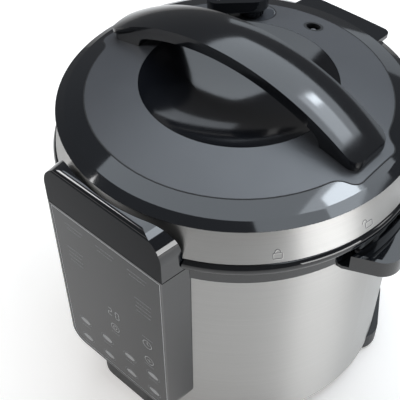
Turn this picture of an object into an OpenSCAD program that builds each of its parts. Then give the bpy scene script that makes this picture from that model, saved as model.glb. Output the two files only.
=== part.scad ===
// Electric pressure cooker of the six-litre class, with its lid closed and locked.
// The origin lies on the standing surface, on the axis of the pot. The control panel faces -Y.

/* [Housing] */
// Outer diameter of the steel housing
housing_d = 273; // [268:1:280]
// Height of the steel housing wall
housing_h = 183; // [176:1:190]
// Thickness of the formed steel sheets
sheet = 0.8; // [0.6:0.1:1.2]
// Height of the housing's lower edge above the standing surface
foot_h = 13; // [11:1:16]
// Height of the rubber pads under the feet
pad_h = 4; // [3:0.5:6]
// Wall of the moulded plastic parts
wall = 3; // [2.5:0.1:3.5]
// Gap between pieces that sit against each other
fit = 0.3; // [0.2:0.05:0.4]
// Gap round pieces that pass each other as the lid turns
pass = 0.8; // [0.5:0.1:1.2]

/* [Top ring] */
// Height of the black ring on top of the housing
ring_h = 25.3; // [23:0.1:28]
// How far the ring's lower edge stands out from the housing
ring_step = 1; // [0.5:0.1:2]
// Radius of the bead round the ring's upper edge
bead_r = 5.3; // [4.5:0.1:6]
// How far the bead stands out from the ring's face
bead_out = 6; // [5:0.1:7]
// Depth of the channel that holds the locking flange
channel_depth = 5.3; // [4.8:0.1:6]

/* [Side handles] */
// Distance from the axis to the tip of a side handle
grip_reach = 166; // [160:1:172]
// Width of a side handle where it meets the ring
grip_w = 86; // [76:1:94]
// Height of a side handle
grip_h = 15; // [14:1:18]
// Radius of the side handle's outer corners
grip_corner = 16; // [12:1:18]
// Depth of the tray in the top of a side handle
tray_depth = 6; // [4:0.5:7]

/* [Control panel] */
// Width of the control panel
panel_w = 117.8; // [110:0.2:122]
// Distance from the axis to the front of the panel
panel_reach = 147; // [145:0.5:150]
// Height of the panel's lower edge above the standing surface
panel_low = 35; // [30:1:45]
// Radius of the panel's lower corners
panel_corner = 14; // [8:1:18]
// Height of the upper piece of the panel
brow_h = 40; // [36:0.2:41]
// Radius of the upper piece's top corners
brow_corner = 22; // [14:1:26]
// Radius of the upper piece's front top edge
brow_edge = 5; // [4:0.5:7]
// Angle by which the panel's sides open towards the housing
panel_flare = 7; // [5:0.5:10]
// Thickness of the glass of the control panel
glass_t = 3; // [2:0.5:4]
// Rim of the panel housing left round the glass
glass_rim = 2; // [1.5:0.25:4]
// Distance between the columns of touch keys
key_pitch = 26.7; // [24:0.1:28]
// Width of the display behind the glass
display_w = 52; // [44:1:60]
// Height of the display behind the glass
display_h = 22; // [16:1:28]
// Height of the display's lower edge above the standing surface
display_low = 126; // [122:1:132]

/* [Pot] */
// Outer diameter of the removable pot
pot_d = 224; // [222:1:226]
// Wall of the removable pot
pot_wall = 1.5; // [1.2:0.1:2]
// Inner depth of the removable pot
pot_depth = 155; // [145:1:158]
// Radius of the corner round the pot's floor
pot_corner = 16; // [10:1:20]
// Gap between the pot and the liner that it stands in
pot_gap = 1.3; // [1:0.1:1.6]
// Thickness of the pot's rolled rim
pot_rim_t = 2; // [1.6:0.1:2.2]

/* [Heating] */
// Diameter of the cast heating plate
plate_d = 176; // [150:1:190]
// Thickness of the cast heating plate
plate_t = 14; // [12:0.5:15]
// Diameter of the sensor plunger's cap
sensor_d = 22; // [18:1:24]
// Diameter of the sensor plunger's stem
stem_d = 12; // [10:1:13]

/* [Lock] */
// Number of locking teeth on the lid
teeth = 6; // [5:1:6]
// Angle that each locking lug spans
lug_angle = 28; // [24:1:29]
// Angle that each lid tooth spans
tooth_angle = 25; // [20:1:27]
// Thickness of the lugs and of the teeth
lug_t = 3; // [2.5:0.1:3.2]
// Play between the lugs and the teeth below them
lug_play = 0.5; // [0.4:0.1:0.7]

/* [Lid] */
// Height of the lid's steel band
band_h = 28.7; // [27:0.1:31]
// How much narrower the band is at its top than at its foot, on the radius
band_lean = 8.5; // [6:0.5:9]
// Largest diameter of the lid
lid_d = 278; // [274:1:284]
// Height of the sloping face round the lid's rim
rim_h = 4.6; // [4:0.1:6]
// Width of the sloping face round the lid's rim
rim_w = 7.5; // [6:0.1:9]
// Radius of the dome of the lid's top
dome_r = 480; // [440:5:540]
// Diameter of the satin disc in the lid's top
disc_d = 233.4; // [228:0.2:238]
// Thickness of the satin disc
disc_t = 2; // [1.5:0.1:2.5]
// Diameter of the dish under the lid's handle
dish_d = 151.2; // [140:0.2:154]
// Depth of the dish under the lid's handle
dish_depth = 18; // [14:0.5:19]
// Radius of the corners of the disc's lobes
lobe_r = 9.5; // [8:0.5:12]
// Radius of the fillets between the lobes and the disc's round edge
lobe_fillet = 16; // [10:1:20]
// Width of the ear at the back of the lid
ear_w = 84; // [70:1:90]
// Distance from the axis to the edge of that ear
ear_reach = 146; // [143:0.5:149]
// Radius of that ear's corners
ear_corner = 7; // [5:0.5:12]

/* [Lid handle] */
// Length of the lid's handle
handle_len = 241; // [236:1:246]
// Width of the lid's handle
handle_w = 41; // [38:0.5:44]
// Height of the handle's edge above the lid's lower edge, at mid-length
handle_rise = 52.3; // [50:0.1:56]
// Radius of the handle's arch
arch_r = 215; // [205:1:225]
// Depth of the arch, from its upper edge to its underside
arch_t = 11; // [10:0.5:12.5]
// Height of the crown across the handle
crown = 3; // [2:0.2:4]
// Distance from the axis to the inner face of each of the handle's feet
foot_in = 88; // [82:1:90]
// Radius in the corners of the finger gap
finger_corner = 12; // [8:1:14]

/* [Valves] */
// Distance of the steam valve and the float valve from the axis
valve_reach = 96.5; // [94:0.5:98]
// Direction of the steam valve from the axis, in degrees
steam_dir = 124; // [110:1:135]
// Direction of the float valve from the axis, in degrees
float_dir = 91.4; // [80:0.2:95]
// Radius of the seat round the steam valve
well_r = 20; // [18:0.5:20.2]
// Depth of that seat below the lid's top
well_depth = 2; // [1.5:0.25:3]
// Height of the steam valve's lever above the lid
knob_h = 17; // [14:0.5:20]
// Travel of the float pin
float_travel = 3.5; // [3:0.1:4]

/* [Condensate cup] */
// Width of the condensate cup
cup_w = 76; // [64:1:84]
// Height of the condensate cup
cup_h = 56; // [45:1:62]
// Distance from the axis to the back of the cup
cup_reach = 151; // [149:0.5:152]
// Height of the cup's floor above the standing surface
cup_low = 128; // [118:1:134]

/* [Hidden] */

black = "#17191c";
gloss_black = "#0c0d10";
satin = "#5b6068";
steel = "#b9bbbd";
dark_steel = "#8c8f93";
rubber = "#26272a";
board_green = "#1d5c3a";

$fn = 96;
eps = 0.01;
round_fn = 180;
flat_fn = 32;

// Radii of the housing and of the ring on top of it
housing_r = housing_d / 2;
inside_r = housing_r - sheet;
ring_r = housing_r + ring_step;
bead_c = ring_r + bead_out + 0.6 * ring_step - bead_r + 0.8;
ring_max = bead_c + bead_r;

// Heights of the standing parts
z_ring = foot_h + housing_h;
z_top = z_ring + ring_h;
z_channel = z_top - channel_depth;
z_band = z_top + 0.5;
z_rim = z_top + band_h;
z_base = foot_h / 2;
base_t = wall;
base_wall_h = 9;
foot_dirs = [30, 150, 270];
foot_at = 121;
foot_lip = 8;
board_seat = 22;

// The lid's steel band
band_low_r = bead_c + 2.6;
band_top_r = band_low_r - band_lean;
function band_r(z) = band_top_r + band_lean * (z_rim - z) / (z_rim - z_band);

// The dome of the lid, as a sphere whose centre is on the axis
lid_r = lid_d / 2;
crease_r = lid_r - rim_w;
z_crease = z_rim + rim_h;
z_dome = z_crease - sqrt(pow(dome_r, 2) - pow(crease_r, 2));
function dome_z(r) = z_dome + sqrt(pow(dome_r, 2) - pow(r, 2));
cover_t = wall;

// Pot, liner and locking flange, from the ring's channel upwards
pot_r = pot_d / 2;
liner_in = pot_r + pot_gap;
liner_out = liner_in + sheet;
z_lug = z_channel + lug_t + lug_play + channel_depth;
z_flange = z_lug + lug_t;
z_liner_rim = z_flange + sheet;
z_pot_rim = z_liner_rim + fit;
z_pot_top = z_pot_rim + pot_rim_t;
z_pot_floor = z_pot_top - pot_depth;
z_pot_under = z_pot_floor - pot_wall;
flange_in = liner_out + fit;
flange_wall = 2;
lug_r = liner_out + 7.2;
lid_skirt_in = lug_r + pass;
lid_skirt_t = 2;
lid_skirt_out = lid_skirt_in + lid_skirt_t;
channel_out = lid_skirt_out + 2.5;
z_tooth = z_lug - lug_play - lug_t;

// Heating plate under the pot and the liner's floor under the plate
z_plate = z_pot_under - fit;
z_plate_under = z_plate - plate_t;
plate_foot = 3;
z_liner_floor = z_plate_under - plate_foot;
post_at = 80;
post_r = 5;
element_r = 4.5;
element_at = 62;
terminal_r = 3;
terminal_drop = 12;
terminal_dirs = [200, 250];
spring_wire = 1.2;
spring_turns = 5;
sensor_cap_t = 5;
cutout_at = [-38, 24];

// Lid interior
seal_t = 5;
z_seal = z_pot_top + fit;
z_lid_under = z_seal + seal_t + fit;
lid_plate_t = 2;
lid_lift = 5;
seal_in = pot_r - 4;
seal_out = lid_skirt_in - 0.5;
plate_edge_r = seal_in + 2;
inner_t = 1.5;
z_frame = z_band + 0.6;
frame_t = 2.4;
lid_screw_r = 1.6;
lid_screw_len = 8;
lid_head_r = 2.8;
lid_head_t = 1.4;
lid_boss_r = 3.6;
lid_boss_at = lid_skirt_out + 1 + lid_boss_r;
z_inner = z_seal + (seal_t - inner_t) / 2;
post_dia = 15.8;
grommet_r = 12;
screw_r = 2;
screw_head_r = 3.4;
handle_screw_len = 12;
spot_depth = 8;
spot_r = 4;

// Control panel
half_w = panel_w / 2;
seam = 0.9;
z_seam = z_top - 11.9;
front_t = 6;
z_glass_low = panel_low + glass_rim;
board_t = 1.6;
board_y = -(housing_r + 0.8 + board_t);
board_w = panel_w - 2 * wall - 1;
window_margin = glass_rim + 7.5;
board_screw_r = 1;
board_post_r = 2.8;
board_screw_x = half_w - wall - 0.5 - board_post_r;
board_low = panel_low + panel_corner;
board_h = z_seam - board_low - 14;
board_screw_z = [board_low + 6, board_low + board_h - 6];
key_rows = [50, 74];
key_mid = 1.4;
icon_keys = [[key_mid + 1.4 * key_pitch, 93], [key_mid + 1.4 * key_pitch, 115]];

// Power board: each block on it has its corner and its size
power_board_l = 110;
power_board_w = 80;
board_blocks = [
    [[-48, -34], [32, 26, 15]],
    [[12, -34], [16, 20, 14]],
    [[34, -34], [16, 20, 14]],
    [[6, 10], [28, 20, 9]]];
capacitor_x = [-36, -20];
capacitor_y = 24;
capacitor_r = 6;
capacitor_h = 16;

// Lid handle
lobe_at = [handle_len / 2 - 4, 18];
z_arch = z_rim + handle_rise - arch_r;
under_r = arch_r - arch_t;
shell_t = 3.6;
z_handle_top = z_arch + arch_r;
base_inset = 1.8;
screw_at = [foot_in + 15, 9];
handle_seat = dome_z(norm(screw_at) - 4) - disc_t - cover_t;

// Side handles: their lower face lies a little below the ring
z_grip = z_ring - 3;
grip_root = housing_r - 8;
grip_screw_y = 26;
grip_screw_len = 14;
grip_head_t = 2.2;
ring_skirt_in = inside_r - fit - wall;
grip_seat = sqrt(pow(ring_skirt_in, 2) - pow(grip_screw_y - 4, 2)) + 0.2;

// Steam valve and float valve
steam_at = [valve_reach * cos(steam_dir), valve_reach * sin(steam_dir)];
float_at = [valve_reach * cos(float_dir), valve_reach * sin(float_dir)];
z_valve = dome_z(valve_reach);
pipe_r = 5;
pipe_bore = 1.6;
run_fit = 0.08;
z_well = z_valve - well_depth;
z_lid_plate = z_lid_under + lid_lift;
pin_r = 2.4;
bezel_r = 8;
bezel_hole = 6;
float_cap_r = 5;
float_cap_t = 2.6;
z_float = z_lid_plate - float_travel - float_cap_t - 0.4;

// Steam knob
knob_base_r = 9.5;
knob_head_r = 13.5;
lever_len = 30;
lever_dir = 235;
lever_end_r = 8;
z_knob = z_valve + knob_h;

// Condensate cup and its bracket
cup_wall = 1.6;
bracket_t = 2.5;
bracket_w = cup_w + 2 * (bracket_t + fit);
bracket_short = 8;

// Power inlet
inlet_w = 52;
inlet_h = 32;
inlet_low = 21;
socket_w = 24.6;
socket_h = 16.4;
socket_depth = 17;
inlet_reach = housing_r + 4;
z_socket = inlet_low + inlet_h / 2;

// ---------- shared shapes ----------

// Half profile of a round vessel with a rounded floor corner
module vessel_profile(r, z0, z1, corner) {
    translate([0, z0 + corner]) square([r, z1 - z0 - corner]);
    translate([0, z0]) square([r - corner, corner]);
    translate([r - corner, z0 + corner]) circle(corner);
}

// A ring of the dome's shell between two radii, its top lowered by drop
module dome_shell(r0, r1, drop, t) {
    rotate_extrude($fn = round_fn) intersection() {
        translate([r0, z_rim - 30]) square([r1 - r0, 80]);
        difference() {
            translate([0, z_dome]) circle(dome_r - drop, $fn = 360);
            translate([0, z_dome]) circle(dome_r - drop - t, $fn = 360);
        }
    }
}

// Space of the housing and of the ring, grown by c, and of the lid's way up, grown by band_c
module standing_core(c, band_c, at_ring) {
    rotate_extrude($fn = round_fn) polygon([
        [0, 0], [housing_r + c, 0], [housing_r + c, z_ring - c], [at_ring + c, z_ring - c],
        [at_ring + c, z_top + c], [band_low_r + band_c, z_top + c], [band_low_r + band_c, z_rim + 40],
        [0, z_rim + 40]]);
}

// Space that the control panel takes out of the ring's bead
module panel_notch() {
    x = half_w + (panel_reach - sqrt(pow(ring_r, 2) - pow(half_w, 2))) * tan(panel_flare) + fit;
    difference() {
        translate([-x, -ring_max - 5, z_ring - 1]) cube([2 * x, ring_max, ring_h + 5]);
        cylinder(h = 2 * z_top, r = ring_r, $fn = round_fn);
    }
}

// Turns the sides of its children outwards behind the panel's front corners
module flared(c) {
    for (s = [0, 1]) mirror([s, 0, 0]) intersection() {
        translate([0, c - panel_reach, 0]) cube([100, 60, z_rim + 20]);
        translate([half_w - c, -panel_reach, 0]) rotate([0, 0, -panel_flare])
            translate([c - half_w, panel_reach, 0]) children();
    }
}

// Outline of a side handle, drawn inwards by c
module grip_outline(c) {
    hull() {
        for (s = [-1, 1]) translate([grip_reach - grip_corner, s * (grip_w / 2 - grip_corner - 9)])
            circle(grip_corner - c, $fn = 2 * flat_fn);
        translate([grip_root - 1, -grip_w / 2 + c]) square([7, grip_w - 2 * c]);
    }
}

// Outline of the panel's housing seen from the front, drawn inwards by c
module panel_outline(c, top) {
    r = panel_corner - c;
    low = panel_low + c;
    translate([-half_w + c, low + r]) square([panel_w - 2 * c, top - low - r]);
    translate([-half_w + c + r, low]) square([panel_w - 2 * (c + r), r + eps]);
    for (s = [-1, 1]) translate([s * (half_w - panel_corner), low + r]) circle(r);
}

// A slab with that outline between two distances in front of the axis
module panel_slab(c, top, y_near, y_far) {
    translate([0, -y_near, 0]) rotate([90, 0, 0]) linear_extrude(y_far - y_near)
        panel_outline(c, top);
}

// The body of the panel's upper piece, drawn inwards by c
module brow_body(c) {
    r = brow_corner - c;
    edge = brow_edge - c / 2;
    top = z_seam + brow_h - c;
    intersection() {
        flared(c) translate([0, -100, 0]) rotate([90, 0, 0]) linear_extrude(panel_reach - 85) {
            translate([-half_w + c, z_seam]) square([panel_w - 2 * c, brow_h - brow_corner]);
            translate([-half_w + brow_corner, z_seam]) square([panel_w - 2 * brow_corner, top - z_seam]);
            for (s = [-1, 1]) translate([s * (half_w - brow_corner), top - r]) circle(r);
        }
        rotate([90, 0, 90]) linear_extrude(panel_w + 30, center = true) {
            translate([-panel_reach + c, z_seam]) square([panel_reach - 90, top - edge - z_seam]);
            translate([-panel_reach + c + edge, z_seam]) square([panel_reach - 90 - edge, top - z_seam]);
            translate([-panel_reach + c + edge, top - edge]) circle(edge);
        }
    }
}

// One quarter of the satin disc's outline, grown by c: lobe corner, fillet and round edge
function disc_quarter(c) = let (
    near = lobe_r + lobe_fillet,
    far = disc_d / 2 + lobe_fillet,
    reach = norm(lobe_at),
    along = (pow(far, 2) - pow(near, 2) + pow(reach, 2)) / (2 * reach),
    turn = atan2(lobe_at.y, lobe_at.x) + acos(along / far),
    centre = far * [cos(turn), sin(turn)],
    bend = atan2(centre.y - lobe_at.y, centre.x - lobe_at.x)) concat(
        [for (i = [0:6]) lobe_at + (lobe_r + c) * [cos(bend * i / 6), sin(bend * i / 6)]],
        [for (i = [1:7]) let (a = 180 + bend + (turn - bend) * i / 8)
            centre + (lobe_fillet - c) * [cos(a), sin(a)]],
        [for (i = [0:18]) let (a = turn + (90 - turn) * i / 18) (disc_d / 2 + c) * [cos(a), sin(a)]]);

// Outline of the satin disc with its two lobes at the ends of the handle, grown by c
module disc_outline(c) {
    right = disc_quarter(c);
    left = [for (i = [len(right) - 2:-1:0]) [-right[i].x, right[i].y]];
    upper = concat(right, left);
    polygon(concat(upper, [for (i = [len(upper) - 1:-1:0]) [upper[i].x, -upper[i].y]]));
}

// Sweeps a profile of radius and width along the handle's arch
module arch(half_angle) {
    translate([0, 0, z_arch]) rotate([90, 0, 0]) rotate([0, 0, 90 - half_angle])
        rotate_extrude(angle = 2 * half_angle, $fn = round_fn) children();
}

// Rounded rectangle centred on the axis
module round_rect(w, d, r) {
    translate([-w / 2 + r, -d / 2]) square([w - 2 * r, d]);
    translate([-w / 2, -d / 2 + r]) square([w, d - 2 * r]);
    for (x = [-1, 1], y = [-1, 1]) translate([x * (w / 2 - r), y * (d / 2 - r)]) circle(r);
}

// Section of the handle's upper shell: flat sides and a crowned top, drawn inwards by c
module shell_section(c) {
    crown_r = (pow(handle_w / 2, 2) + pow(crown, 2)) / (2 * crown);
    intersection() {
        translate([arch_r - shell_t - c, -handle_w / 2 + c]) square([shell_t + crown, handle_w - 2 * c]);
        translate([arch_r + crown - crown_r, 0]) circle(crown_r - c, $fn = round_fn);
    }
}

// The clear gap between the handle and the lid, seen from the front
module finger_gap() {
    x = foot_in - finger_corner;
    z = sqrt(pow(under_r - finger_corner, 2) - pow(x, 2));
    bend = atan2(z, x);
    turn = [for (i = [0:7]) [x, z] + finger_corner * [cos(bend * i / 7), sin(bend * i / 7)]];
    side = concat([[foot_in, 0]], turn, [turn[7] + 0.5 * (turn[7] - turn[6]), [x, under_r + 5]]);
    intersection() {
        circle(under_r, $fn = round_fn);
        union() for (s = [0, 1]) mirror([s, 0]) polygon(concat([[-1, 0]], side, [[-1, under_r + 5]]));
    }
}

// A round wire wound into a helix, with flat-sided facets
module coil(r, wire, height, turns) {
    steps = 14;
    sides = 6;
    n = steps * turns;
    function at(i) = [r * cos(360 * i / steps), r * sin(360 * i / steps), height * i / n];
    points = [for (i = [0:n]) for (k = [0:sides - 1])
        at(i) + wire / 2 * [cos(360 * k / sides) * cos(360 * i / steps),
                            cos(360 * k / sides) * sin(360 * i / steps), sin(360 * k / sides)]];
    walls = [for (i = [0:n - 1]) for (k = [0:sides - 1])
        [i * sides + k, i * sides + (k + 1) % sides,
         (i + 1) * sides + (k + 1) % sides, (i + 1) * sides + k]];
    first = [for (k = [sides - 1:-1:0]) k];
    last = [for (k = [0:sides - 1]) n * sides + k];
    polyhedron(points, concat(walls, [first, last]));
}

// A pan-head screw pointing up, its head below z
module screw(z, length, r, head_r, head_t) {
    translate([0, 0, z - head_t]) cylinder(h = head_t, r = head_r);
    translate([0, 0, z - head_t / 2]) cylinder(h = length + head_t / 2, r = r);
}

// ---------- base ----------

// Places its children on each foot, with +X pointing outwards
module at_feet() {
    for (a = foot_dirs) rotate([0, 0, a]) translate([foot_at, 0, 0]) children();
}

module foot_outline(c) {
    hull() for (t = [-1, 1]) translate([0, 20 * t]) circle(20 - c, $fn = flat_fn);
}

module base_cover() {
    color(black) difference() {
        union() {
            rotate_extrude($fn = round_fn) polygon([
                [0, z_base], [inside_r - 8, z_base], [inside_r - fit, foot_h],
                [inside_r - fit, foot_h + base_wall_h], [inside_r - fit - wall, foot_h + base_wall_h],
                [inside_r - fit - wall, foot_h + 1], [inside_r - 9, z_base + base_t],
                [0, z_base + base_t]]);
            // Lips of the feet that stand up outside the housing
            difference() {
                at_feet() translate([0, 0, pad_h]) linear_extrude(foot_h + foot_lip - pad_h) foot_outline(0);
                translate([0, 0, foot_h - fit]) cylinder(h = 40, r = housing_r + fit, $fn = round_fn);
            }
            for (a = [90, 210, 330]) rotate([0, 0, a]) translate([post_at, 0, z_base])
                cylinder(h = base_t + 4, r = post_r + 4);
            for (x = [-1, 1], y = [-1, 1]) translate([48 * x, 33 * y, z_base])
                cylinder(h = board_seat - z_base, r = 4);
        }
        at_feet() translate([0, 0, pad_h - 1]) cylinder(h = 5, r = screw_r + 2.5);
        at_feet() translate([0, 0, pad_h - 1]) cylinder(h = foot_h, r = screw_r + 0.2);
        for (i = [-6:6]) translate([i * 9 - 1.5, -24 - 22, z_base - 1]) cube([3, 22, base_t + 2]);
        for (i = [-6:6]) translate([i * 9 - 1.5, 24, z_base - 1]) cube([3, 22, base_t + 2]);
    }
}

module foot_pads() {
    color(rubber) at_feet() linear_extrude(pad_h) difference() {
        foot_outline(3);
        circle(4);
    }
}

module base_screws() {
    color(dark_steel) at_feet() screw(pad_h + 4, foot_h - pad_h + 2, screw_r, 3.5, 2);
}

module steel_housing() {
    color(steel) difference() {
        translate([0, 0, foot_h]) rotate_extrude($fn = round_fn)
            translate([inside_r, 0]) square([sheet, housing_h - fit]);
        // Opening for the panel's wiring and opening for the power inlet
        translate([-18, -housing_r - 5, 120]) cube([36, 20, 40]);
        translate([-inlet_w / 2 + 5, housing_r - 20, inlet_low + 3]) cube([inlet_w - 10, 25, inlet_h - 6]);
    }
}

module top_ring() {
    skirt_in = ring_skirt_in;
    color(gloss_black) difference() {
        rotate_extrude($fn = round_fn) {
            polygon([
                [skirt_in, z_ring - 8], [inside_r - fit, z_ring - 8], [inside_r - fit, z_ring],
                [ring_r, z_ring], [ring_r + 0.6 * ring_step, z_top - 2 * bead_r],
                [bead_c, z_top - 2 * bead_r], [bead_c, z_top], [channel_out, z_top],
                [channel_out, z_channel], [liner_out + fit, z_channel],
                [liner_out + fit, z_channel - wall], [skirt_in - 6, z_channel - wall],
                [skirt_in, z_ring + 4]]);
            translate([bead_c, z_top - bead_r]) circle(bead_r);
        }
        panel_notch();
        at_grip_screws() rotate([0, 90, 0]) cylinder(h = ring_max, r = screw_r + 0.2);
        at_grip_screws() translate([grip_seat - 12, 0, 0]) rotate([0, 90, 0]) cylinder(h = 12, r = 4);
    }
}

// Places its children on the axis of each side handle's screws, with +X pointing outwards
module at_grip_screws() {
    for (a = [0, 180], t = [-1, 1]) rotate([0, 0, a]) translate([0, t * grip_screw_y, z_grip + 5.5])
        children();
}

// A side handle: a shelf with a tray on top and a hollow for the fingers below
module grip() {
    color(gloss_black) difference() {
        translate([0, 0, z_grip]) linear_extrude(grip_h) grip_outline(0);
        translate([0, 0, z_grip + grip_h - tray_depth]) linear_extrude(grip_h) difference() {
            grip_outline(wall);
            circle(ring_max + 1, $fn = round_fn);
        }
        translate([0, 0, z_grip - 1]) linear_extrude(6) difference() {
            grip_outline(wall);
            circle(housing_r + 10, $fn = round_fn);
        }
        standing_core(0.1, 0.1, ring_max);
        at_grip_screws() rotate([0, 90, 0]) cylinder(h = grip_seat + grip_screw_len, r = screw_r + 0.05);
    }
}

module side_handle_right() grip();

module side_handle_left() rotate([0, 0, 180]) grip();

// Screws through the ring's skirt into the side handles
module side_handle_screws() {
    color(dark_steel) at_grip_screws() {
        translate([grip_seat - grip_head_t, 0, 0]) rotate([0, 90, 0])
            cylinder(h = grip_head_t, r = screw_head_r);
        translate([grip_seat - 1, 0, 0]) rotate([0, 90, 0]) cylinder(h = grip_screw_len, r = screw_r);
    }
}

// ---------- pot side of the lock, liner and heating ----------

module lock_flange() {
    color(dark_steel) {
        rotate_extrude($fn = round_fn) polygon([
            [flange_in, z_channel], [flange_in + flange_wall, z_channel],
            [flange_in + flange_wall, z_lug], [lug_r - 3, z_lug], [lug_r - 3, z_flange],
            [flange_in, z_flange]]);
        for (i = [0:teeth - 1]) rotate([0, 0, 360 * i / teeth - lug_angle / 2])
            rotate_extrude(angle = lug_angle, $fn = round_fn)
                translate([lug_r - 3.5, z_lug]) square([3.5, lug_t]);
    }
}

module outer_liner() {
    color(dark_steel) difference() {
        rotate_extrude($fn = round_fn) {
            difference() {
                vessel_profile(liner_out, z_liner_floor - sheet, z_liner_rim, pot_corner + sheet);
                vessel_profile(liner_in, z_liner_floor, z_liner_rim + 1, pot_corner);
            }
            translate([liner_in + sheet / 2, z_flange]) square([lug_r - 3 - liner_in - sheet / 2, sheet]);
        }
        translate([0, 0, z_liner_floor - 2]) cylinder(h = 4, r = stem_d / 2 + 0.1);
        for (a = terminal_dirs) rotate([0, 0, a]) translate([element_at, 0, z_liner_floor - 2])
            cylinder(h = 4, r = terminal_r + 1);
    }
}

module support_posts() {
    z = z_base + base_t + 4;
    color(steel) for (a = [90, 210, 330]) rotate([0, 0, a]) translate([post_at, 0, z])
        cylinder(h = z_liner_floor - sheet - z, r = post_r);
}

module heating_plate() {
    color("#a9acae") difference() {
        union() {
            translate([0, 0, z_plate_under]) cylinder(h = plate_t - 2, r = plate_d / 2, $fn = round_fn);
            translate([0, 0, z_plate - 2 - eps]) cylinder(h = 2 + eps, r1 = plate_d / 2, r2 = plate_d / 2 - 2,
                $fn = round_fn);
            for (a = [30, 150, 270]) rotate([0, 0, a]) translate([plate_d / 2 - 12, 0, z_liner_floor])
                cylinder(h = plate_foot + 1, r = 5);
        }
        translate([0, 0, z_plate_under - 1]) cylinder(h = plate_t + 2, r = sensor_d / 2 + 3);
        rotate_extrude($fn = round_fn) translate([element_at, z_plate_under + 2.5]) circle(element_r + 0.1);
        rotate_extrude($fn = round_fn) translate([element_at - element_r - 0.1, z_plate_under - 1])
            square([2 * element_r + 0.2, 3.5]);
    }
}

module heating_element() {
    color("#6d6f72") {
        rotate_extrude($fn = round_fn) translate([element_at, z_plate_under + 2.5]) circle(element_r);
        for (a = terminal_dirs) rotate([0, 0, a]) translate([element_at, 0, z_liner_floor - terminal_drop])
            cylinder(h = z_plate_under + 2.5 - z_liner_floor + terminal_drop, r = terminal_r);
    }
}

module thermal_cutout() {
    color("#d8d4c8") translate([cutout_at.x, cutout_at.y, z_liner_floor - sheet - 7]) {
        cylinder(h = 7, r = 8);
        for (s = [-1, 1]) translate([s * 5, 0, -4]) cube([4, 1, 8.5], center = true);
    }
}

// Sprung plunger that feels the pot's floor
module sensor_plunger() {
    color("#c9c9c6") {
        translate([0, 0, z_plate - sensor_cap_t]) cylinder(h = sensor_cap_t, r = sensor_d / 2);
        translate([0, 0, z_liner_floor - 6]) cylinder(h = z_plate - sensor_cap_t - z_liner_floor + 6 + eps,
            r = stem_d / 2);
    }
}

module sensor_spring() {
    gap = z_plate - sensor_cap_t - z_liner_floor;
    color(steel) translate([0, 0, z_liner_floor + spring_wire / 2 + 0.1])
        coil(stem_d / 2 + spring_wire, spring_wire, gap - spring_wire - 0.2, spring_turns);
}

module power_board() {
    top = board_seat + board_t;
    color(board_green) {
        translate([-power_board_l / 2, -power_board_w / 2, board_seat])
            cube([power_board_l, power_board_w, board_t]);
        for (c = board_blocks) translate([c[0].x, c[0].y, top - eps]) cube(c[1]);
        for (x = capacitor_x) translate([x, capacitor_y, top - eps])
            cylinder(h = capacitor_h, r = capacitor_r);
    }
}

module mains_inlet() {
    color(black) difference() {
        union() {
            translate([0, inlet_reach, z_socket]) rotate([90, 0, 0])
                linear_extrude(inlet_reach - housing_r + 16) round_rect(inlet_w, inlet_h, 4);
        }
        difference() {
            translate([0, 0, inlet_low - 1]) cylinder(h = inlet_h + 2, r = housing_r + 0.1, $fn = round_fn);
            translate([-inlet_w / 2 + 5.3, inside_r - 22, inlet_low + 3.3])
                cube([inlet_w - 10.6, 30, inlet_h - 6.6]);
        }
        translate([-socket_w / 2, inlet_reach - socket_depth, z_socket - socket_h / 2])
            cube([socket_w, socket_depth + 1, socket_h]);
    }
}

module inlet_pins() {
    z = [4, -2, -2];
    x = [0, -7, 7];
    color(steel) for (i = [0:2]) translate([x[i] - 1, inlet_reach - socket_depth, z_socket + z[i] - 2])
        cube([2, 12, 4]);
}

// ---------- control panel ----------

// Places its children on each of the control board's four screws, with +Z towards the front
module at_board_screws(y) {
    for (x = [-1, 1], z = board_screw_z) translate([x * board_screw_x, y, z]) rotate([90, 0, 0])
        children();
}

module panel_housing() {
    top = z_seam - seam;
    post_h = panel_reach - front_t + board_y;
    color(gloss_black) difference() {
        union() {
            difference() {
                flared(0) panel_slab(0, top, 100, panel_reach + 15);
                standing_core(0.1, 0.1, ring_r);
                // Hollow behind the front, pocket for the glass and window behind it
                panel_slab(wall, top - wall, 90, panel_reach - front_t);
                panel_slab(glass_rim, top - glass_rim, panel_reach - glass_t, panel_reach + 1);
                panel_slab(window_margin, top - window_margin, panel_reach - front_t - 1, panel_reach);
            }
            at_board_screws(board_y) cylinder(h = post_h + 0.5, r = board_post_r);
        }
        at_board_screws(board_y) translate([0, 0, -1]) cylinder(h = post_h + 2, r = board_screw_r + 0.05);
    }
}

module panel_brow() {
    color(gloss_black) difference() {
        brow_body(0);
        standing_core(fit, pass, ring_r);
        difference() {
            translate([0, 0, -wall]) brow_body(wall);
            standing_core(fit + wall, pass + wall, ring_r);
        }
    }
}

module panel_glass() {
    color("#1d1f24") panel_slab(glass_rim + 0.15, z_seam - seam - glass_rim - 0.15,
        panel_reach - glass_t, panel_reach - 0.3);
}

module control_board() {
    color(board_green) difference() {
        translate([-board_w / 2, board_y, board_low]) cube([board_w, board_t, board_h]);
        at_board_screws(board_y + board_t + 1) cylinder(h = board_t + 2, r = board_screw_r + 0.3);
    }
}

module display_module() {
    depth = panel_reach - glass_t - fit + board_y;
    color("#2c2f33") translate([key_mid - display_w / 2, board_y - depth, display_low])
        cube([display_w, depth, display_h]);
}

module touch_springs() {
    depth = panel_reach - glass_t + board_y - 0.2;
    color(steel) {
        for (z = key_rows, i = [-1.5:1:1.5]) translate([key_mid + i * key_pitch, board_y, z])
            rotate([90, 0, 0]) cylinder(h = depth, r = 4);
        for (k = icon_keys) translate([k.x, board_y, k.y]) rotate([90, 0, 0]) cylinder(h = depth, r = 4);
    }
}

module board_screws() {
    color(dark_steel) at_board_screws(board_y + board_t) screw(0, board_t + 2.5, board_screw_r, 2.2, 1.6);
}

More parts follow.
